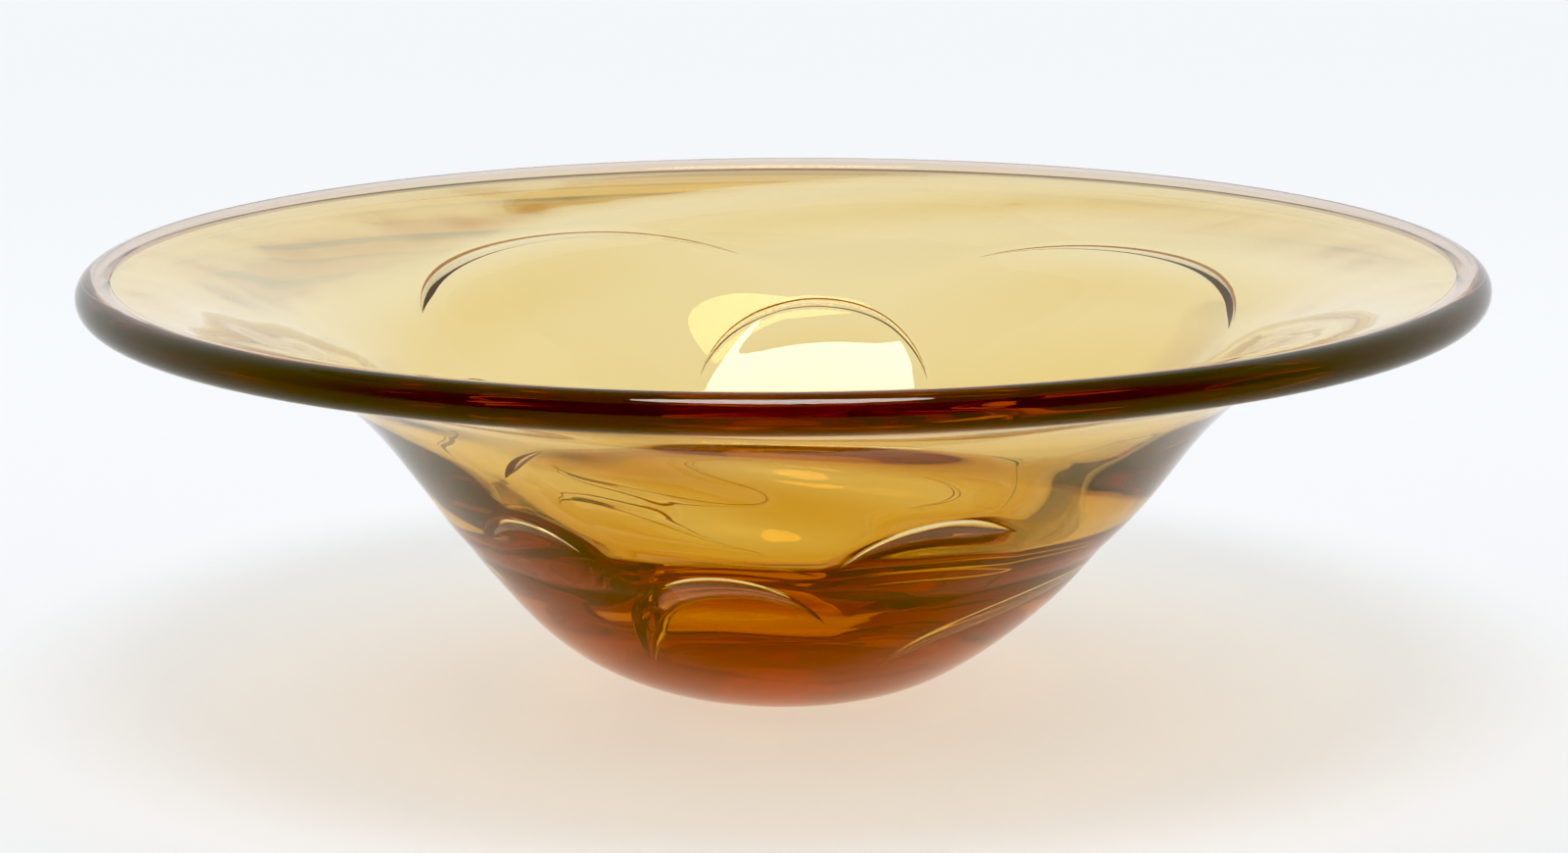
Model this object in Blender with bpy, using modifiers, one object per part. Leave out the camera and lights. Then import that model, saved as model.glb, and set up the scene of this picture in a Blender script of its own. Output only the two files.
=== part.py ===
"""A hand-blown art glass bowl: wide flared rim, rounded well, thumbprint dents with air trapped over them.

The bowl is built up the way it is blown. An inner gather of amber glass is pressed with staggered rings of
dents. An outer gather of pale glass is laid over it and traps a crescent of air along the upper edge of
each dent. A round lip closes the edge where the two layers meet, and a small pad under the base gives it a
flat to stand on. The layers touch face to face with a hair of clearance between them. The origin is on the
table, under the middle of the pad. Metres, +Z up, front at -Y.
"""

import bisect
import math

import bmesh
import bpy
from mathutils import Vector

# Overall size
RIM_RADIUS = 0.1525
LIP_HEIGHT = 0.0910
LIP_RADIUS = 0.0042
CLEARANCE = 0.0003

# The pad that the bowl stands on
PAD_RADIUS = 0.017
PAD_HEIGHT = 0.0026
PAD_PROUD = 0.0004
PAD_EDGE = 0.0004

# The outside of the wall, from the pad to the lip
WAIST_RADIUS = 0.0713
WAIST_HEIGHT = 0.0358
WAIST_SLOPE = 0.81
BELLY_PULL = 0.030
WAIST_PULL_BELOW = 0.0058
WAIST_PULL_ABOVE = 0.0299
FLANGE_PULL = 0.055
FLANGE_SLOPE = 0.16
WALL_END_RADIUS = 0.1462

# Wall thickness as (distance along the outside, thickness), and the outer gather's share of it
THICKNESS = (
    (0.0, 0.0330),
    (0.030, 0.0300),
    (0.062, 0.0195),
    (0.092, 0.0080),
    (0.130, 0.0064),
    (0.178, 0.0078),
)
CASING_SHARE = ((0.0, 0.74), (0.050, 0.72), (0.085, 0.56), (0.125, 0.56), (0.155, 0.85), (0.178, 0.85))

# The hand-made lean to one side, as (height, distance to +X)
LEAN = ((0.0, 0.0), (0.010, -0.0010), (0.030, 0.0004), (0.050, 0.0017), (0.074, 0.0017), (0.086, 0.0))

# Dents: how deep they are, and how much of that shows inside the bowl
DENT_DEPTH = 0.0034
CAVITY_FOLLOWS = 0.80

# One row for each dent, pressed by hand: azimuth in degrees, distance of its top edge along the wall,
# half width, half height, how many times longer its lower half is. Then the air over its edge: start and
# end round the edge in degrees, widest place as a share of its length, width and thickness.
DENTS = (
    (-12, 0.0905, 0.0225, 0.0230, 1.5, -125, 74, 0.24, 0.0092, 0.0034),
    (72, 0.0800, 0.0435, 0.0200, 1.6, -112, 20, 0.45, 0.0072, 0.0028),
    (140, 0.0880, 0.0260, 0.0220, 1.6, -80, 60, 0.30, 0.0044, 0.0022),
    (-150, 0.0880, 0.0260, 0.0220, 1.6, -80, 60, 0.30, 0.0044, 0.0022),
    (-85, 0.0860, 0.0260, 0.0220, 1.6, -80, 60, 0.30, 0.0044, 0.0022),
    (23, 0.1070, 0.0225, 0.0180, 1.5, -73, 46, 0.70, 0.0056, 0.0024),
    (98, 0.1100, 0.0260, 0.0200, 1.5, -75, 60, 0.30, 0.0034, 0.0016),
    (176, 0.1240, 0.0290, 0.0240, 1.5, -82, 80, 0.50, 0.0026, 0.0014),
    (-116, 0.1120, 0.0260, 0.0200, 1.5, -60, 72, 0.70, 0.0034, 0.0016),
    (-45, 0.1030, 0.0170, 0.0140, 1.5, -75, 62, 0.25, 0.0050, 0.0026),
    (-5, 0.1400, 0.0560, 0.0240, 1.0, -88, -50, 0.40, 0.0030, 0.0014),
    (131, 0.1470, 0.0560, 0.0220, 1.5, -74, 53, 0.15, 0.0040, 0.0012),
    (-150, 0.1480, 0.0520, 0.0220, 1.5, -58, 80, 0.85, 0.0040, 0.0012),
)
TIP_SWELL = 0.15

STEPS_ROUND = 60
BELLY_STATIONS = 8
FLARE_STATIONS = 13
LIP_STATIONS = 9
CRESCENT_STATIONS = 13
CRESCENT_SIDES = 8
SHARP_EDGE = math.radians(40)

AMBER = (0.55, 0.22, 0.03, 1.0)
PALE_AMBER = (0.86, 0.78, 0.55, 1.0)
SMOKE = (0.42, 0.30, 0.22, 1.0)
CLEAR = (0.90, 0.86, 0.80, 1.0)
GLASS_ROUGHNESS = 0.03


def bezier(start, pull_start, pull_end, end, count):
    """Points along one cubic curve, from start to end."""
    points = []
    for index in range(count):
        t = index / (count - 1)
        s = 1 - t
        points.append(s**3 * start + 3 * s * s * t * pull_start + 3 * s * t * t * pull_end + t**3 * end)
    return points


def outside_curve():
    """The outside of the wall as (radius, height), from the edge of the pad to the lip."""
    along = Vector((math.cos(WAIST_SLOPE), math.sin(WAIST_SLOPE)))
    flange = Vector((math.cos(FLANGE_SLOPE), math.sin(FLANGE_SLOPE)))
    foot = Vector((PAD_RADIUS - CLEARANCE, PAD_PROUD))
    waist = Vector((WAIST_RADIUS, WAIST_HEIGHT))
    end = Vector((WALL_END_RADIUS, LIP_HEIGHT - LIP_RADIUS))
    pull = Vector((BELLY_PULL, 0))
    belly = bezier(foot, foot + pull, waist - WAIST_PULL_BELOW * along, waist, BELLY_STATIONS)
    flare = bezier(waist, waist + WAIST_PULL_ABOVE * along, end - FLANGE_PULL * flange, end, FLARE_STATIONS)
    return [Vector((0, PAD_PROUD)), *belly, *flare[1:]]


def distances(curve):
    """Distance of each point along the curve from its start."""
    runs = [0.0]
    for before, after in zip(curve, curve[1:]):
        runs.append(runs[-1] + (after - before).length)
    return runs


def normals(curve):
    """Direction from the outside to the inside of the wall at each point."""
    found = []
    for index in range(len(curve)):
        before = curve[max(index - 1, 0)]
        after = curve[min(index + 1, len(curve) - 1)]
        along = (after - before).normalized()
        found.append(Vector((-along.y, along.x)))
    found[0] = Vector((0, 1))
    return found


def eased(rows, at):
    """The value at a distance, eased between rows of (distance, value)."""
    if at <= rows[0][0]:
        return rows[0][1]
    for (start, low), (end, high) in zip(rows, rows[1:]):
        if at < end:
            t = (at - start) / (end - start)
            return low + (high - low) * t * t * (3 - 2 * t)
    return rows[-1][1]


OUTSIDE = outside_curve()
RUNS = distances(OUTSIDE)
INWARD = normals(OUTSIDE)


def wall(run):
    """The wall's thickness at a distance along the outside."""
    return eased(THICKNESS, run)


def casing(run):
    """The outer gather's thickness there."""
    return eased(CASING_SHARE, run) * wall(run)


def layer(depth_at, lift=0.0):
    """The section of one surface in the wall, at a depth from the outside plus a lift."""
    points = []
    for point, run, inward in zip(OUTSIDE, RUNS, INWARD):
        points.append(point + (depth_at(run) + lift) * inward)
    points[0].x = 0.0
    return points


def place(run, depth):
    """The point (radius, height) at a distance along the wall and a depth from the outside."""
    index = min(bisect.bisect_right(RUNS, run), len(RUNS) - 1)
    t = (run - RUNS[index - 1]) / (RUNS[index] - RUNS[index - 1])
    inward = INWARD[index - 1].lerp(INWARD[index], t)
    return OUTSIDE[index - 1].lerp(OUTSIDE[index], t) + depth * inward


def dent(azimuth, radius, run):
    """How far the dents push the amber glass in at one place, as a share of their full depth."""
    deepest = 0.0
    for turn, top, half_width, half_height, tail, *_ in DENTS:
        angle = (azimuth - math.radians(turn) + math.pi) % math.tau - math.pi
        across = angle * radius / half_width
        up = (run - top + half_height) / half_height
        if up < 0:
            up /= tail
        reach = across * across + up * up
        if reach < 1:
            deepest = max(deepest, (1 - reach) * (1 - reach * reach))
    return deepest


def collection(name):
    made = bpy.data.collections.new(name)
    bpy.context.scene.collection.children.link(made)
    return made


def glass(name, colour):
    """A smooth glass material in one colour."""
    material = bpy.data.materials.new(name)
    material.use_nodes = True
    shader = material.node_tree.nodes["Principled BSDF"]
    shader.inputs["Base Color"].default_value = colour
    shader.inputs["Roughness"].default_value = GLASS_ROUGHNESS
    shader.inputs["Metallic"].default_value = 0.0
    return material


def turned(name, rows, colour):
    """A solid turned from rows of (point, distance along the wall, share of the dents that it takes)."""
    profile = bpy.data.meshes.new(name + "_profile")
    profile.from_pydata([(p.x, 0, p.y) for p, _, _ in rows], [(i, i + 1) for i in range(len(rows) - 1)], [])
    run_of = profile.attributes.new("run", "FLOAT", "POINT")
    give_of = profile.attributes.new("give", "FLOAT", "POINT")
    for index, (_, run, give) in enumerate(rows):
        run_of.data[index].value = run
        give_of.data[index].value = give
    lathe = bpy.data.objects.new(name + "_profile", profile)
    PARTS.objects.link(lathe)
    screw = lathe.modifiers.new("Lathe", "SCREW")
    screw.steps = STEPS_ROUND
    screw.render_steps = STEPS_ROUND
    screw.use_merge_vertices = True
    screw.merge_threshold = 0.00001
    bpy.context.view_layer.update()
    graph = bpy.context.evaluated_depsgraph_get()
    mesh = bpy.data.meshes.new_from_object(lathe.evaluated_get(graph))
    bpy.data.objects.remove(lathe)
    press(mesh)
    lean(mesh)
    split_alike(mesh)
    mesh.name = name
    mesh.shade_smooth()
    mesh.set_sharp_from_angle(angle=SHARP_EDGE)
    mesh.materials.clear()
    mesh.materials.append(glass(name, colour))
    solid = bpy.data.objects.new(name, mesh)
    PARTS.objects.link(solid)
    return solid


def press(mesh):
    """Presses the dents into a turned mesh, square to the wall."""
    runs = [item.value for item in mesh.attributes["run"].data]
    gives = [item.value for item in mesh.attributes["give"].data]
    for vertex, run, give in zip(mesh.vertices, runs, gives):
        radius = math.hypot(vertex.co.x, vertex.co.y)
        if give == 0 or radius < CLEARANCE:
            continue
        azimuth = math.atan2(vertex.co.x, -vertex.co.y)
        push = give * DENT_DEPTH * dent(azimuth, radius, run)
        inward = wall_direction(run)
        vertex.co.x += push * inward.x * math.sin(azimuth)
        vertex.co.y -= push * inward.x * math.cos(azimuth)
        vertex.co.z += push * inward.y


def lean(mesh):
    """Slides each height of a mesh sideways by the bowl's lean."""
    for vertex in mesh.vertices:
        vertex.co.x += eased(LEAN, vertex.co.z)


def split_alike(mesh):
    """Splits each four-sided face from its lower corner on the same side, so that near faces match."""
    shape = bmesh.new()
    shape.from_mesh(mesh)
    run_of = shape.verts.layers.float["run"]
    for face in [face for face in shape.faces if len(face.verts) == 4]:
        middle = face.calc_center_median()
        middle_run = sum(vertex[run_of] for vertex in face.verts) / 4
        corners = list(face.verts)
        for index, vertex in enumerate(corners):
            before = vertex.co.x * middle.y < vertex.co.y * middle.x
            if vertex[run_of] <= middle_run and before:
                bmesh.utils.face_split(face, vertex, corners[index - 2])
                break
    bmesh.ops.triangulate(shape, faces=shape.faces[:])
    shape.to_mesh(mesh)
    shape.free()


def wall_direction(run):
    """The direction through the wall at a distance along it."""
    nearest = min(range(len(RUNS)), key=lambda index: abs(RUNS[index] - run))
    return INWARD[nearest]


def wall_rows(points, give):
    return [(point, run, give) for point, run in zip(points, RUNS)]


def crescent(turn, top, half_width, half_height, _, start, stop, widest, width, thickness):
    """Points of the air over one dent's edge, as rings along it, with the middle of each ring on the seam."""
    rings = []
    for index in range(CRESCENT_STATIONS):
        share = index / (CRESCENT_STATIONS - 1)
        swell = share / widest if share < widest else (1 - share) / (1 - widest)
        swell = max(math.sin(swell * math.pi / 2), TIP_SWELL)
        arch = math.radians(start + (stop - start) * share)
        ring = []
        for side in range(CRESCENT_SIDES):
            angle = side * math.tau / CRESCENT_SIDES
            inset = width / 2 * swell * (1 - math.cos(angle))
            run = top - half_height + (half_height - inset) * math.cos(arch)
            point = place(run, casing(run) + thickness * math.sqrt(swell) * math.sin(angle))
            azimuth = math.radians(turn) + (half_width - inset) * math.sin(arch) / point.x
            ring.append((point.x * math.sin(azimuth), -point.x * math.cos(azimuth), point.y))
        rings.append(ring)
    return rings


def trapped_air():
    """The cutter that hollows the outer gather along the dents' edges."""
    shape = bmesh.new()
    for row in DENTS:
        rings = [[shape.verts.new(point) for point in ring] for ring in crescent(*row)]
        for before, after in zip(rings, rings[1:]):
            for side in range(CRESCENT_SIDES):
                near = side - 1
                shape.faces.new((before[near], before[side], after[side], after[near]))
        shape.faces.new(rings[0])
        shape.faces.new(rings[-1])
    bmesh.ops.recalc_face_normals(shape, faces=shape.faces[:])
    mesh = bpy.data.meshes.new("trapped_air")
    shape.to_mesh(mesh)
    shape.free()
    lean(mesh)
    mesh.shade_smooth()
    cutter = bpy.data.objects.new("trapped_air", mesh)
    cutter.hide_render = True
    cutter.display_type = "WIRE"
    CUTTERS.objects.link(cutter)
    return cutter


def inner_gather():
    """The amber layer that lines the well and the flange."""
    cavity = wall_rows(layer(wall), CAVITY_FOLLOWS)
    seam = wall_rows(layer(casing, CLEARANCE / 2), 1.0)
    return turned("inner_gather", cavity + seam[::-1], AMBER)


def outer_gather():
    """The pale layer over it, with air trapped over the dents and a shallow recess for the pad."""
    seam = wall_rows(layer(casing, -CLEARANCE / 2), 1.0)
    outside = wall_rows(OUTSIDE, 0.0)[:1:-1]
    ceiling = PAD_HEIGHT + CLEARANCE
    rim = Vector((PAD_RADIUS + CLEARANCE, PAD_PROUD + CLEARANCE))
    recess = [Vector((rim.x, rim.y)), Vector((rim.x, ceiling)), Vector((0, ceiling))]
    solid = turned("outer_gather", seam + outside + [(point, 0, 0) for point in recess], PALE_AMBER)
    hollow = solid.modifiers.new("Trapped air", "BOOLEAN")
    hollow.operation = "DIFFERENCE"
    hollow.solver = "EXACT"
    hollow.object = trapped_air()
    return solid


def lip_wrap():
    """The round lip, from the end of the two layers to the rim."""
    top = layer(wall)[-1]
    foot = OUTSIDE[-1]
    gap = Vector((CLEARANCE, 0))
    centre = Vector((RIM_RADIUS - LIP_RADIUS, LIP_HEIGHT))
    section = [top + gap]
    for index in range(LIP_STATIONS):
        angle = math.pi / 2 - math.pi * index / (LIP_STATIONS - 1)
        section.append(centre + LIP_RADIUS * Vector((math.cos(angle), math.sin(angle))))
    section += [foot + gap, top + gap]
    return turned("lip_wrap", [(point, 0, 0) for point in section], SMOKE)


def pontil_pad():
    """The ground pad that the bowl stands on."""
    section = [
        Vector((0, PAD_HEIGHT)),
        Vector((PAD_RADIUS - PAD_EDGE, PAD_HEIGHT)),
        Vector((PAD_RADIUS, PAD_HEIGHT - PAD_EDGE)),
        Vector((PAD_RADIUS, PAD_EDGE)),
        Vector((PAD_RADIUS - PAD_EDGE, 0)),
        Vector((0, 0)),
    ]
    return turned("pontil_pad", [(point, 0, 0) for point in section], CLEAR)


for old in list(bpy.data.objects):
    bpy.data.objects.remove(old)

PARTS = collection("art_glass_bowl")
CUTTERS = collection("cutters")
inner_gather()
outer_gather()
lip_wrap()
pontil_pad()
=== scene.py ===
"""Looks for the hand-blown art glass bowl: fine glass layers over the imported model, light, floor and camera."""

import math

import bpy
import numpy as np
from mathutils import Matrix, Vector


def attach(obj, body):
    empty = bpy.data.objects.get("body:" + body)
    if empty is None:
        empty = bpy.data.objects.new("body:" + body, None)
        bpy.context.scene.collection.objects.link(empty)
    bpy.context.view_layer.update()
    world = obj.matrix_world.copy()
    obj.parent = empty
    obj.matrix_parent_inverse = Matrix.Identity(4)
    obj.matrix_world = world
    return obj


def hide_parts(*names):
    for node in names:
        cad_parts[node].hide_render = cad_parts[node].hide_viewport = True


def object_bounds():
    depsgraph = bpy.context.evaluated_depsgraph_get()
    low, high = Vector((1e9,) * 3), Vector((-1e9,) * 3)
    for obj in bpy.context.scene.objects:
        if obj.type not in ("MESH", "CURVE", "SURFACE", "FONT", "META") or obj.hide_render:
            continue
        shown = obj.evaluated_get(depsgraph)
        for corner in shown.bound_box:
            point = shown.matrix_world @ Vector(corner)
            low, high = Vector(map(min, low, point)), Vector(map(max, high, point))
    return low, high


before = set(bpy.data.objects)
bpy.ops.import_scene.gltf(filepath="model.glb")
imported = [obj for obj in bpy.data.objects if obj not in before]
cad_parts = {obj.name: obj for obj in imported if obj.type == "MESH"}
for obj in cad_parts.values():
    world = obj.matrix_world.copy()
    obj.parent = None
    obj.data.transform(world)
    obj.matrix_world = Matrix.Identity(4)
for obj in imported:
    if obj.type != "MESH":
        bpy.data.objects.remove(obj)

CAD_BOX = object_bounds()

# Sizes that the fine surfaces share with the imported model
RIM_RADIUS = CAD_BOX[1][0]
TOTAL_HEIGHT = CAD_BOX[1][2]
LIP_RADIUS = 0.0042
LIP_HEIGHT = TOTAL_HEIGHT - LIP_RADIUS
CLEARANCE = 0.0003

# The pad that the bowl stands on
PAD_RADIUS = 0.017
PAD_HEIGHT = 0.0026
PAD_PROUD = 0.0004

# The outside of the wall, from the pad to the lip
WAIST = (0.0713, 0.0358)
WAIST_SLOPE = 0.81
BELLY_PULL = 0.030
WAIST_PULL_BELOW = 0.0058
WAIST_PULL_ABOVE = 0.0299
FLANGE_PULL = 0.055
FLANGE_SLOPE = 0.16
WALL_END_RADIUS = 0.1462

# Wall thickness as (distance along the outside, thickness), and the outer layer's share of it
THICKNESS = (
    (0.0, 0.0330),
    (0.030, 0.0300),
    (0.062, 0.0195),
    (0.092, 0.0080),
    (0.130, 0.0064),
    (0.178, 0.0078),
)
CASING_SHARE = ((0.0, 0.74), (0.050, 0.72), (0.085, 0.56), (0.125, 0.56), (0.155, 0.85), (0.178, 0.85))

# The hand-made lean to one side, as (height, distance to +X)
LEAN = ((0.0, 0.0), (0.010, -0.0010), (0.030, 0.0004), (0.050, 0.0017), (0.074, 0.0017), (0.086, 0.0))

# Dents: how deep they are, and how much of that shows inside the bowl
DENT_DEPTH = 0.0034
CAVITY_FOLLOWS = 0.80

# One row for each dent, pressed by hand: azimuth in degrees, distance of its top edge along the wall,
# half width, half height, how many times longer its lower half is. Then the air over its edge: start and
# end round the edge in degrees, widest place as a share of its length, width and thickness.
DENTS = (
    (-12, 0.0905, 0.0225, 0.0230, 1.5, -125, 74, 0.24, 0.0092, 0.0034),
    (72, 0.0800, 0.0435, 0.0200, 1.6, -112, 20, 0.45, 0.0072, 0.0028),
    (140, 0.0880, 0.0260, 0.0220, 1.6, -80, 60, 0.30, 0.0044, 0.0022),
    (-150, 0.0880, 0.0260, 0.0220, 1.6, -80, 60, 0.30, 0.0044, 0.0022),
    (-85, 0.0860, 0.0260, 0.0220, 1.6, -80, 60, 0.30, 0.0044, 0.0022),
    (23, 0.1070, 0.0225, 0.0180, 1.5, -73, 46, 0.70, 0.0056, 0.0024),
    (98, 0.1100, 0.0260, 0.0200, 1.5, -75, 60, 0.30, 0.0034, 0.0016),
    (176, 0.1240, 0.0290, 0.0240, 1.5, -82, 80, 0.50, 0.0026, 0.0014),
    (-116, 0.1120, 0.0260, 0.0200, 1.5, -60, 72, 0.70, 0.0034, 0.0016),
    (-45, 0.1030, 0.0170, 0.0140, 1.5, -75, 62, 0.25, 0.0050, 0.0026),
    (-5, 0.1400, 0.0560, 0.0240, 1.0, -88, -50, 0.40, 0.0030, 0.0014),
    (131, 0.1470, 0.0560, 0.0220, 1.5, -74, 53, 0.15, 0.0040, 0.0012),
    (-150, 0.1480, 0.0520, 0.0220, 1.5, -58, 80, 0.85, 0.0040, 0.0012),
)

# The hair between two layers, which the eye can't see
SEAM = 0.00006

# Slight waves that blowing leaves in the inside surface, as (height, waves round, length along the wall,
# phase), and how far from the middle and from the lip they reach full height
WAVES = ((0.00022, 3, 0.055, 0.4), (0.00016, 5, 0.034, 2.1), (0.00009, 8, 0.023, 4.0))
WAVES_FADE = 0.030

# Trapped air: how far down in the outer layer it lies, how it leans across its width, how much glass is
# left over it, how much of the room left it fills, and how bluntly it tapers to its ends
POCKET_SHARE = 0.47
POCKET_TILT = -0.30
POCKET_SKIN = 0.0006
POCKET_FILL = 0.80
POCKET_TAPER = 0.9

# How finely the surfaces are divided
STEPS_ROUND = 540
BASE_STATIONS = 18
BELLY_STATIONS = 70
FLARE_STATIONS = 110
LIP_STATIONS = 28
POCKET_ALONG = 72
POCKET_ROUND = 16
ON_AXIS = 1e-7
SHARP_ANGLE = math.radians(40)

# Glass: its index, and the surface's streaks, wear and ripple as noise sizes in cycles per metre
GLASS_IOR = 1.5
STREAK_SCALE, STREAK_DETAIL = 14.0, 3.0
WEAR_SCALE, WEAR_DETAIL = 60.0, 4.0
RIPPLE_SCALE, RIPPLE_DETAIL = 32.0, 1.0
RIPPLE_STRENGTH = 0.5
RIPPLE_HEIGHT = 0.00012
NOISE_SPAN = (0.3, 0.7)
TINT_HEADROOM = 1.05

# The white cove: its shape, paper colour and glow. The glow grows outwards, fades towards the camera's
# side and is warmer under the bowl: a painted pool of amber light there stands in for the colour the glass
# throws.
COVE_FLOOR = (0.6, 1.4, 2.2)
COVE_CORNER = 0.8
COVE_CORNER_STEPS = 12
COVE_WALL_TOP = 3.4
COVE_STEPS = 96
PAPER = (0.34, 0.34, 0.343, 1)
PAPER_ROUGHNESS = 0.9
PAPER_SHINE = 0.1
GLOW_REACH, GLOW_LEVELS = (0.6, 2.9), (0.58, 0.68)
GLOW_FRONT, GLOW_FRONT_LEVELS = (-2.2, 0.6), (0.25, 1.0)
GLOW_COLOUR = (0.94, 0.97, 1.0, 1)
# The next two values are a painted pool of warm light under the bowl: its colour, middle and reach.
PAINTED_POOL_COLOUR = (1.14, 0.99, 0.88, 1)
PAINTED_POOL_MIDDLE, PAINTED_POOL_REACH = (0, -0.035, 0), (0.02, 0.21)

# Light from above and from all round
LAMP_PLACE = (0, -0.50, 1.75)
LAMP_SIZE = (0.95, 0.80)
LAMP_POWER = 19
SKY_COLOUR = (0.95, 0.97, 1.0, 1)
SKY_STRENGTH = 0.75

# Camera, and the print's deep blacks
VIEW_DISTANCE = 1.0
VIEW_AIM_HEIGHT = 0.0915
VIEW_TILT = math.radians(9.86)
VIEW_PITCH = math.radians(11.75)
VIEW_ROLL = math.radians(-0.28)
VIEW_LENS = 105.5
VIEW_SENSOR = 36
BLACK_POINT = (0.012, 0.022, 0.052)

# How many times light may turn: inside glass, off shiny surfaces, off paper, and through fused faces
GLASS_BOUNCES = 40
SHINY_BOUNCES = 16
PAPER_BOUNCES = 4
FUSED_BOUNCES = 80


def curve_points(start, pull_start, pull_end, end, count):
    """Points along a curve that leaves its start and reaches its end along the two pulls."""
    t = np.linspace(0, 1, count)[:, None]
    s = 1 - t
    return s**3 * start + 3 * s * s * t * pull_start + 3 * s * t * t * pull_end + t**3 * end


def outside_curve():
    """The outside of the wall as (radius, height), from the middle of the base to the lip."""
    along = np.array((math.cos(WAIST_SLOPE), math.sin(WAIST_SLOPE)))
    flange = np.array((math.cos(FLANGE_SLOPE), math.sin(FLANGE_SLOPE)))
    foot = np.array((PAD_RADIUS - CLEARANCE, PAD_PROUD))
    waist = np.array(WAIST)
    end = np.array((WALL_END_RADIUS, LIP_HEIGHT - LIP_RADIUS))
    below = waist - WAIST_PULL_BELOW * along
    above = waist + WAIST_PULL_ABOVE * along
    belly = curve_points(foot, foot + (BELLY_PULL, 0), below, waist, BELLY_STATIONS)
    flare = curve_points(waist, above, end - FLANGE_PULL * flange, end, FLARE_STATIONS)
    middle = np.linspace((0, PAD_PROUD), foot, BASE_STATIONS)[:-1]
    return np.vstack([middle, belly, flare[1:]])


def eased(rows, at):
    """Values between the rows' (place, value) steps, with smooth passage from one to the next."""
    value = np.full_like(at, rows[0][1])
    for (start, low), (end, high) in zip(rows, rows[1:]):
        t = np.clip((at - start) / (end - start), 0, 1)
        value = np.where(at >= start, low + (high - low) * t * t * (3 - 2 * t), value)
    return value


OUTSIDE = outside_curve()
RUNS = np.concatenate([[0], np.cumsum(np.hypot(*np.diff(OUTSIDE, axis=0).T))])
TANGENT = np.gradient(OUTSIDE, RUNS, axis=0)
TANGENT /= np.linalg.norm(TANGENT, axis=1)[:, None]
INWARD = np.stack([-TANGENT[:, 1], TANGENT[:, 0]], axis=1)
WALL = eased(THICKNESS, RUNS)
CASING = eased(CASING_SHARE, RUNS)
AZIMUTH = np.arange(STEPS_ROUND) * math.tau / STEPS_ROUND


def dent_push(radius, run, azimuth):
    """How far the dents push in, as a share of their depth, on the grid of (station, azimuth)."""
    push = np.zeros(np.broadcast(radius, azimuth).shape)
    for middle, top, half_width, half_height, tail, *_ in DENTS:
        angle = (azimuth - math.radians(middle) + math.pi) % math.tau - math.pi
        across = angle * radius / half_width
        up = (run - top + half_height) / half_height
        up = np.where(up < 0, up / tail, up)
        reach = np.clip(across**2 + up**2, 0, 1)
        push = np.maximum(push, (1 - reach) * (1 - reach**2))
    return push


def waves(run, azimuth):
    """The slight waves of the inside surface, which fade out towards the middle of the base and the lip."""
    lift = np.zeros(np.broadcast(run, azimuth).shape)
    for height, turns, length, phase in WAVES:
        lift += height * np.sin(turns * azimuth + phase + math.tau * run / length)
    lift = lift * np.clip(run / WAVES_FADE, 0, 1)
    return lift * np.clip((RUNS[-1] - run) / WAVES_FADE, 0, 1)


def turned(rho, height, azimuth):
    """Points at a radius and a height, with azimuth 0 at the front."""
    return np.stack([rho * np.sin(azimuth), -rho * np.cos(azimuth), height], axis=-1)


def wall_grid(share, lift, give, wavy=False):
    """Points of one surface in the wall, as (station, azimuth, xyz)."""
    section = OUTSIDE + (share * WALL + lift)[:, None] * INWARD
    section[0, 0] = 0
    radius = section[:, 0][:, None]
    run = RUNS[:, None]
    push = give * DENT_DEPTH * dent_push(radius, run, AZIMUTH[None, :])
    if wavy:
        push += waves(run, AZIMUTH[None, :])
    rho = radius + push * INWARD[:, 0][:, None]
    height = section[:, 1][:, None] + push * INWARD[:, 1][:, None]
    return turned(rho, height, AZIMUTH)


def ring_grid(section):
    """A turned grid from (radius, height) points."""
    section = np.asarray(section, float)
    height = np.repeat(section[:, 1][:, None], STEPS_ROUND, axis=1)
    return turned(section[:, 0][:, None], height, AZIMUTH)


def strip_faces(low, high):
    """Faces between two rings of point numbers, three-sided where a ring has shrunk to one point."""
    faces = []
    for corners in zip(low, high, np.roll(high, -1), np.roll(low, -1)):
        face = []
        for corner in corners:
            if corner not in face:
                face.append(int(corner))
        if len(face) > 2:
            faces.append(face)
    return faces


def glass_body(name, rows, fused, closed=False, extra=()):
    """One closed mesh from rings of points; fused says which strips between rings touch a neighbour."""
    count = len(rows)
    points = []
    index = np.zeros((count, STEPS_ROUND), int)
    for r, row in enumerate(rows):
        if np.hypot(row[0, 0], row[0, 1]) < ON_AXIS:
            index[r, :] = len(points)
            points.append(tuple(row[0]))
        else:
            index[r, :] = len(points) + np.arange(STEPS_ROUND)
            points.extend(map(tuple, row))
    faces = []
    open_to_air = []
    for r in range(count if closed else count - 1):
        strip = strip_faces(index[r], index[(r + 1) % count])
        faces.extend(strip)
        open_to_air.extend([1.0 - fused[r]] * len(strip))
    for more_points, more_faces in extra:
        base = len(points)
        points.extend(map(tuple, more_points))
        faces.extend([[int(v) + base for v in face] for face in more_faces])
        open_to_air.extend([1.0] * len(more_faces))
    points = np.array(points)
    points[:, 0] += eased(LEAN, points[:, 2])
    mesh = bpy.data.meshes.new(name)
    mesh.from_pydata(points.tolist(), [], faces)
    open_face = mesh.attributes.new("open_face", "FLOAT", "FACE")
    open_face.data.foreach_set("value", open_to_air)
    mesh.shade_smooth()
    mesh.set_sharp_from_angle(angle=SHARP_ANGLE)
    body = bpy.data.objects.new(name, mesh)
    bpy.context.scene.collection.objects.link(body)
    return body


def at_run(values, run):
    """The outside curve's (radius, height) values at distances along it."""
    return np.stack([np.interp(run, RUNS, values[:, 0]), np.interp(run, RUNS, values[:, 1])], axis=-1)


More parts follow.
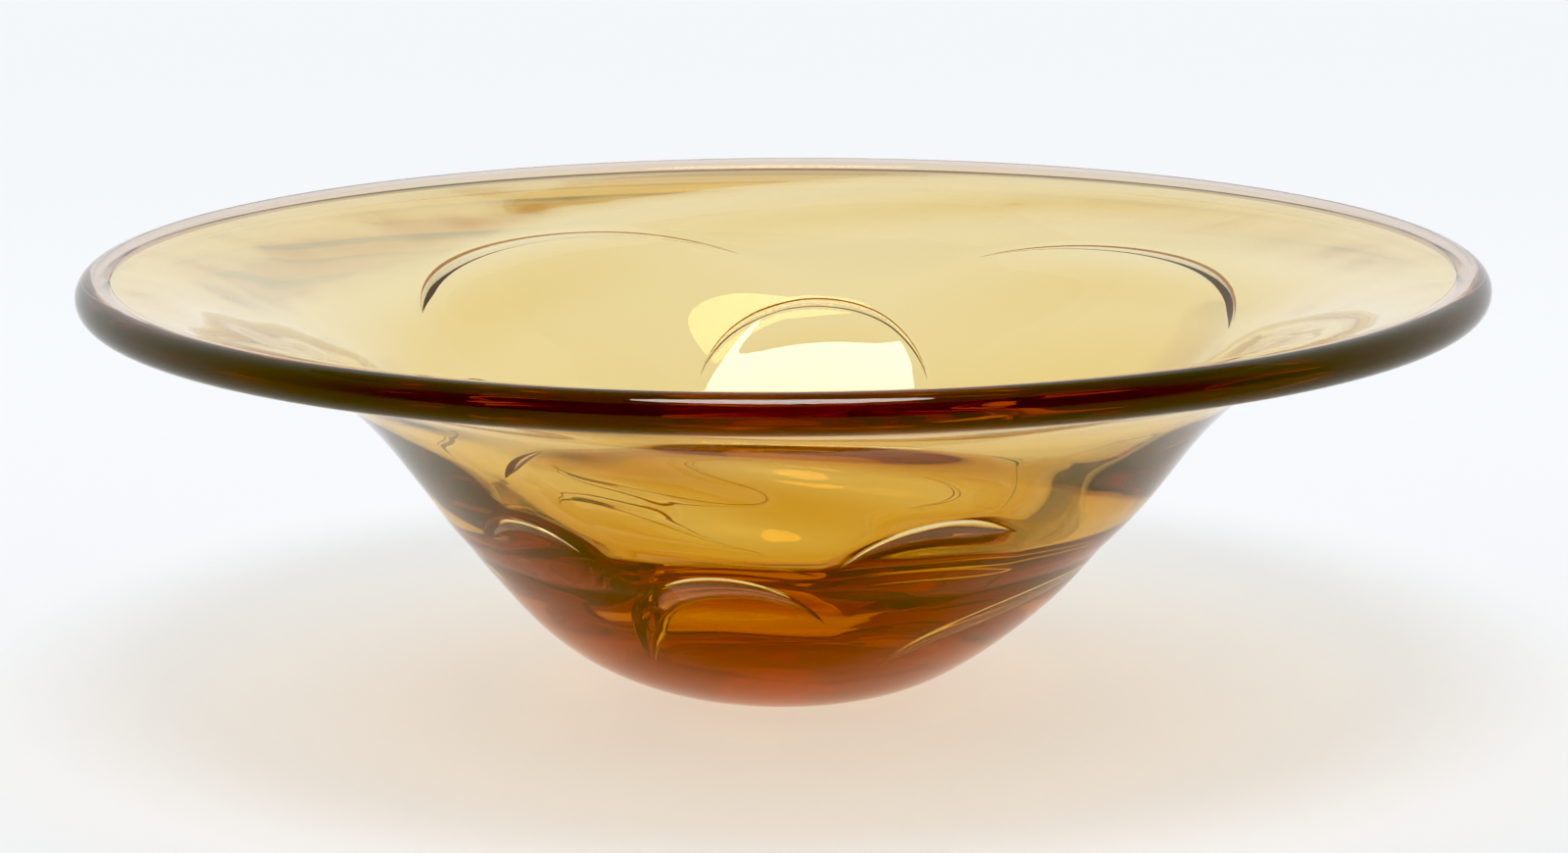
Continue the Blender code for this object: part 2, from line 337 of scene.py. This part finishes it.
def pocket_grid(middle, top, half_width, half_height, _, start, stop, widest, width, thickness):
    """Rings of points round a crescent of trapped air, from one of its ends to the other."""
    share = np.linspace(0, 1, POCKET_ALONG)
    arch = np.radians(start + (stop - start) * share)[:, None]
    swell = np.where(share < widest, share / widest, (1 - share) / (1 - widest))
    swell = np.sin(swell * math.pi / 2) ** POCKET_TAPER
    swell[[0, -1]] = 0
    half = width / 2 * swell
    around = np.arange(POCKET_ROUND) * math.tau / POCKET_ROUND
    inset = half[:, None] * (1 - np.cos(around))
    across = (half_width - inset) * np.sin(arch)
    run = top - half_height + (half_height - inset) * np.cos(arch)
    casing = np.interp(run, RUNS, CASING * WALL)
    room = (min(POCKET_SHARE, 1 - POCKET_SHARE) * casing - POCKET_SKIN).min(axis=1)
    deep = np.minimum(thickness / 2 * np.sqrt(np.clip(swell, 0, 1)), POCKET_FILL * room)
    steepest = np.sqrt(room**2 - deep**2) / np.maximum(half, POCKET_SKIN)
    tilt = np.clip(POCKET_TILT, -steepest, steepest)
    slant = deep[:, None] * np.sin(around) + tilt[:, None] * (inset - half[:, None])
    skin = at_run(OUTSIDE, run)
    place = skin + (POCKET_SHARE * casing + slant)[..., None] * at_run(INWARD, run)
    azimuth = math.radians(middle) + across / skin[..., 0]
    return turned(place[..., 0], place[..., 1], azimuth)


def pocket(row):
    """A crescent of trapped air, as (points, faces) with the faces turned into the air."""
    grid = pocket_grid(*row)
    points = np.concatenate([grid[0, :1], *grid[1:-1], grid[-1, :1]])
    last = len(points) - 1
    last_ring = last - POCKET_ROUND
    faces = []
    for side in range(POCKET_ROUND):
        beside = (side + 1) % POCKET_ROUND
        faces.append((0, 1 + side, 1 + beside))
        for a in range(1, last_ring, POCKET_ROUND):
            b = a + POCKET_ROUND
            faces.append((a + side, b + side, b + beside, a + beside))
        faces.append((last_ring + side, last, last_ring + beside))
    return inward_facing(points, faces)


def inward_facing(points, faces):
    """The faces turned so that they face into the body they bound, as a hollow's do."""
    volume = 0.0
    for face in faces:
        for i in range(1, len(face) - 1):
            volume += np.dot(points[face[0]], np.cross(points[face[i]], points[face[i + 1]]))
    return points, [face[::-1] for face in faces] if volume > 0 else faces


def mapped(tree, value, span, levels=(0.0, 1.0), smooth=False):
    """The value's span spread over the levels."""
    spread = tree.nodes.new("ShaderNodeMapRange")
    if smooth:
        spread.interpolation_type = "SMOOTHSTEP"
    ends = (*span, *levels)
    for socket, end in zip(("From Min", "From Max", "To Min", "To Max"), ends):
        spread.inputs[socket].default_value = end
    tree.links.new(value, spread.inputs["Value"])
    return spread.outputs["Result"]


def mixed(tree, factor, low, high):
    """One colour where the factor is 0, the other where it is 1."""
    mix = tree.nodes.new("ShaderNodeMix")
    mix.data_type = "RGBA"
    mix.inputs["A"].default_value = low
    mix.inputs["B"].default_value = high
    tree.links.new(factor, mix.inputs["Factor"])
    return mix.outputs["Result"]


def noise(tree, scale, detail, low, high):
    """Noise in the object's own space, spread between two values."""
    place = tree.nodes.new("ShaderNodeTexCoord")
    grain = tree.nodes.new("ShaderNodeTexNoise")
    grain.inputs["Scale"].default_value = scale
    grain.inputs["Detail"].default_value = detail
    tree.links.new(place.outputs["Object"], grain.inputs["Vector"])
    return mapped(tree, grain.outputs["Fac"], NOISE_SPAN, (low, high))


def glass(name, loss, streak, wear):
    """Clear glass that takes off a share of each colour per metre, as natural logs.

    The surface has faint streaks of colour, wear between two roughnesses and a slight ripple.
    """
    material = bpy.data.materials.new(name)
    material.use_nodes = True
    tree = material.node_tree
    shader = tree.nodes["Principled BSDF"]
    shader.inputs["Transmission Weight"].default_value = 1.0
    shader.inputs["IOR"].default_value = GLASS_IOR
    streaks = mixed(tree, noise(tree, STREAK_SCALE, STREAK_DETAIL, 0.0, 1.0), (1, 1, 1, 1), (*streak, 1))
    tree.links.new(streaks, shader.inputs["Base Color"])
    tree.links.new(noise(tree, WEAR_SCALE, WEAR_DETAIL, *wear), shader.inputs["Roughness"])
    ripple = tree.nodes.new("ShaderNodeBump")
    ripple.inputs["Strength"].default_value = RIPPLE_STRENGTH
    ripple.inputs["Distance"].default_value = RIPPLE_HEIGHT
    tree.links.new(noise(tree, RIPPLE_SCALE, RIPPLE_DETAIL, 0.0, 1.0), ripple.inputs["Height"])
    tree.links.new(ripple.outputs["Normal"], shader.inputs["Normal"])
    fused_or_open = tree.nodes.new("ShaderNodeAttribute")
    fused_or_open.attribute_name = "open_face"
    tree.links.new(fused_or_open.outputs["Fac"], shader.inputs["Alpha"])
    density = max(loss) * TINT_HEADROOM
    inside = tree.nodes.new("ShaderNodeVolumeAbsorption")
    inside.inputs["Color"].default_value = (*(1 - c / density for c in loss), 1)
    inside.inputs["Density"].default_value = density
    tree.links.new(inside.outputs["Volume"], tree.nodes["Material Output"].inputs["Volume"])
    return material


def show(piece, material, slot, *nodes):
    """Puts the material on a piece, hangs it under the root body and hides the imported parts of the nodes that
    it stands for.
    """
    piece.data.materials.append(material)
    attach(piece, "root")
    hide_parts(*nodes)


def amber_lining():
    """The amber layer, from the bowl's inside surface to the seam."""
    cavity = wall_grid(1.0, 0, CAVITY_FOLLOWS, wavy=True)
    seam = wall_grid(CASING, SEAM / 2, 1.0)
    stations = len(RUNS)
    fused = [0] * (stations - 1) + [1] * stations
    body = glass_body("amber_lining", np.concatenate([cavity, seam[::-1]]), fused)
    show(body, AMBER, "amber_glass", "inner_gather")


def pale_casing():
    """The pale layer, from the seam to the outside, with the trapped air and the recess for the pad."""
    seam = wall_grid(CASING, -SEAM / 2, 1.0)
    outside = wall_grid(0.0, 0, 0.0)
    stations = len(RUNS)
    first = int(np.argmax(OUTSIDE[:, 0] > PAD_RADIUS + SEAM))
    edge = PAD_RADIUS + SEAM
    ceiling = PAD_HEIGHT + SEAM
    recess = ring_grid([(edge, PAD_PROUD + SEAM), (edge, ceiling), (0, ceiling)])
    rows = np.concatenate([seam, outside[first:][::-1], recess])
    fused = [1] * stations + [0] * (stations - first) + [1, 1]
    body = glass_body("pale_casing", rows, fused, extra=[pocket(row) for row in DENTS])
    show(body, PALE, "pale_glass", "outer_gather")


def rolled_lip():
    """The round lip, closed by the flat where it meets the edges of both layers."""
    middle = RIM_RADIUS - LIP_RADIUS
    inner_edge = OUTSIDE[-1] + WALL[-1] * INWARD[-1]
    section = [(inner_edge[0] + SEAM, inner_edge[1])]
    for angle in np.linspace(math.pi / 2, -math.pi / 2, LIP_STATIONS):
        section.append((middle + LIP_RADIUS * math.cos(angle), LIP_HEIGHT + LIP_RADIUS * math.sin(angle)))
    section.append((OUTSIDE[-1, 0] + SEAM, OUTSIDE[-1, 1]))
    body = glass_body("rolled_lip", ring_grid(section), [0] * (len(section) - 1) + [1], closed=True)
    show(body, SMOKE, "lip_glass", "lip_wrap")


def ground_pad():
    """The pad under the base. It stands out of the casing by its bevel, round the face it stands on."""
    bevel = [(PAD_RADIUS, PAD_PROUD), (PAD_RADIUS - PAD_PROUD, 0)]
    section = [(0, PAD_HEIGHT), (PAD_RADIUS, PAD_HEIGHT), *bevel, (0, 0)]
    body = glass_body("ground_pad", ring_grid(section), [1, 1, 0, 0])
    show(body, CLEAR, "base_glass", "pontil_pad")


def cove_paper():
    """White paper with a soft glow of its own, and a painted warm pool of light under the bowl."""
    material = bpy.data.materials.new("cove_paper")
    material.use_nodes = True
    tree = material.node_tree
    shader = tree.nodes["Principled BSDF"]
    shader.inputs["Base Color"].default_value = PAPER
    shader.inputs["Roughness"].default_value = PAPER_ROUGHNESS
    shader.inputs["Specular IOR Level"].default_value = PAPER_SHINE
    place = tree.nodes.new("ShaderNodeNewGeometry").outputs["Position"]
    from_middle = tree.nodes.new("ShaderNodeVectorMath")
    from_middle.operation = "LENGTH"
    tree.links.new(place, from_middle.inputs[0])
    outwards = mapped(tree, from_middle.outputs["Value"], GLOW_REACH, GLOW_LEVELS, smooth=True)
    split = tree.nodes.new("ShaderNodeSeparateXYZ")
    tree.links.new(place, split.inputs[0])
    backwards = mapped(tree, split.outputs["Y"], GLOW_FRONT, GLOW_FRONT_LEVELS, smooth=True)
    both = tree.nodes.new("ShaderNodeMath")
    both.operation = "MULTIPLY"
    tree.links.new(outwards, both.inputs[0])
    tree.links.new(backwards, both.inputs[1])
    tree.links.new(both.outputs["Value"], shader.inputs["Emission Strength"])
    # Painted pool of light: the glow turns warm near the bowl, in place of the amber light its glass would throw.
    from_painted_pool = tree.nodes.new("ShaderNodeVectorMath")
    from_painted_pool.operation = "DISTANCE"
    from_painted_pool.inputs[1].default_value = PAINTED_POOL_MIDDLE
    tree.links.new(place, from_painted_pool.inputs[0])
    painted_pool_fade = mapped(tree, from_painted_pool.outputs["Value"], PAINTED_POOL_REACH, smooth=True)
    tree.links.new(mixed(tree, painted_pool_fade, PAINTED_POOL_COLOUR, GLOW_COLOUR), shader.inputs["Emission Color"])
    return material


def cove():
    """A round white cove: floor, curved corner and wall."""
    floor_radius = COVE_FLOOR[-1]
    section = [(0, 0), *((radius, 0) for radius in COVE_FLOOR)]
    for i in range(1, COVE_CORNER_STEPS + 1):
        a = math.pi / 2 * i / COVE_CORNER_STEPS
        section.append((floor_radius + COVE_CORNER * math.sin(a), COVE_CORNER * (1 - math.cos(a))))
    section.append((floor_radius + COVE_CORNER, COVE_WALL_TOP))
    points = []
    for radius, height in section:
        for j in range(COVE_STEPS):
            a = math.tau * j / COVE_STEPS
            points.append((radius * math.cos(a), radius * math.sin(a), height))
    faces = []
    for i in range(len(section) - 1):
        low = i * COVE_STEPS
        high = low + COVE_STEPS
        for j in range(COVE_STEPS):
            k = (j + 1) % COVE_STEPS
            faces.append((low + j, low + k, high + k, high + j))
    mesh = bpy.data.meshes.new("cove")
    mesh.from_pydata(points, [], faces)
    mesh.shade_smooth()
    mesh.materials.append(cove_paper())
    floor = bpy.data.objects.new("cove", mesh)
    bpy.context.scene.collection.objects.link(floor)


def lights():
    """One wide round lamp overhead, and an even sky."""
    light = bpy.data.lights.new("overhead", "AREA")
    light.shape = "ELLIPSE"
    light.size, light.size_y = LAMP_SIZE
    light.energy = LAMP_POWER
    lamp = bpy.data.objects.new("overhead", light)
    lamp.location = LAMP_PLACE
    lamp.rotation_euler = (-Vector(LAMP_PLACE)).to_track_quat("-Z", "Y").to_euler()
    bpy.context.scene.collection.objects.link(lamp)
    world = bpy.data.worlds.new("studio")
    bpy.context.scene.world = world
    world.use_nodes = True
    sky = world.node_tree.nodes["Background"]
    sky.inputs["Color"].default_value = SKY_COLOUR
    sky.inputs["Strength"].default_value = SKY_STRENGTH


def view():
    """The camera, in front of the bowl and a little above its rim."""
    camera = bpy.data.cameras.new("view")
    camera.lens = VIEW_LENS
    camera.sensor_width = VIEW_SENSOR
    eye = bpy.data.objects.new("view", camera)
    back = VIEW_DISTANCE * math.cos(VIEW_TILT)
    eye.location = (0, -back, VIEW_AIM_HEIGHT + VIEW_DISTANCE * math.sin(VIEW_TILT))
    aim = Matrix.Rotation(math.pi / 2 - VIEW_PITCH, 3, "X") @ Matrix.Rotation(VIEW_ROLL, 3, "Z")
    eye.rotation_euler = aim.to_euler()
    bpy.context.scene.collection.objects.link(eye)
    bpy.context.scene.camera = eye


def picture():
    """The tone of the picture, and enough bounces for light that runs far inside the glass."""
    scene = bpy.context.scene
    scene.view_settings.view_transform = "Standard"
    scene.view_settings.use_curve_mapping = True
    scene.view_settings.curve_mapping.black_level = BLACK_POINT
    scene.cycles.max_bounces = GLASS_BOUNCES
    scene.cycles.transmission_bounces = GLASS_BOUNCES
    scene.cycles.glossy_bounces = SHINY_BOUNCES
    scene.cycles.diffuse_bounces = PAPER_BOUNCES
    scene.cycles.transparent_max_bounces = FUSED_BOUNCES


AMBER = glass("amber_glass", loss=(20, 64, 210), streak=(1.0, 0.975, 0.93), wear=(0.0, 0.012))
PALE = glass("pale_glass", loss=(7.5, 22, 70), streak=(1.0, 0.99, 0.97), wear=(0.0, 0.010))
SMOKE = glass("lip_glass", loss=(26, 45, 62), streak=(1.0, 0.96, 0.92), wear=(0.0, 0.020))
CLEAR = glass("base_glass", loss=(2, 4, 9), streak=(1.0, 0.99, 0.97), wear=(0.10, 0.30))

amber_lining()
pale_casing()
rolled_lip()
ground_pad()
cove()
lights()
view()
picture()
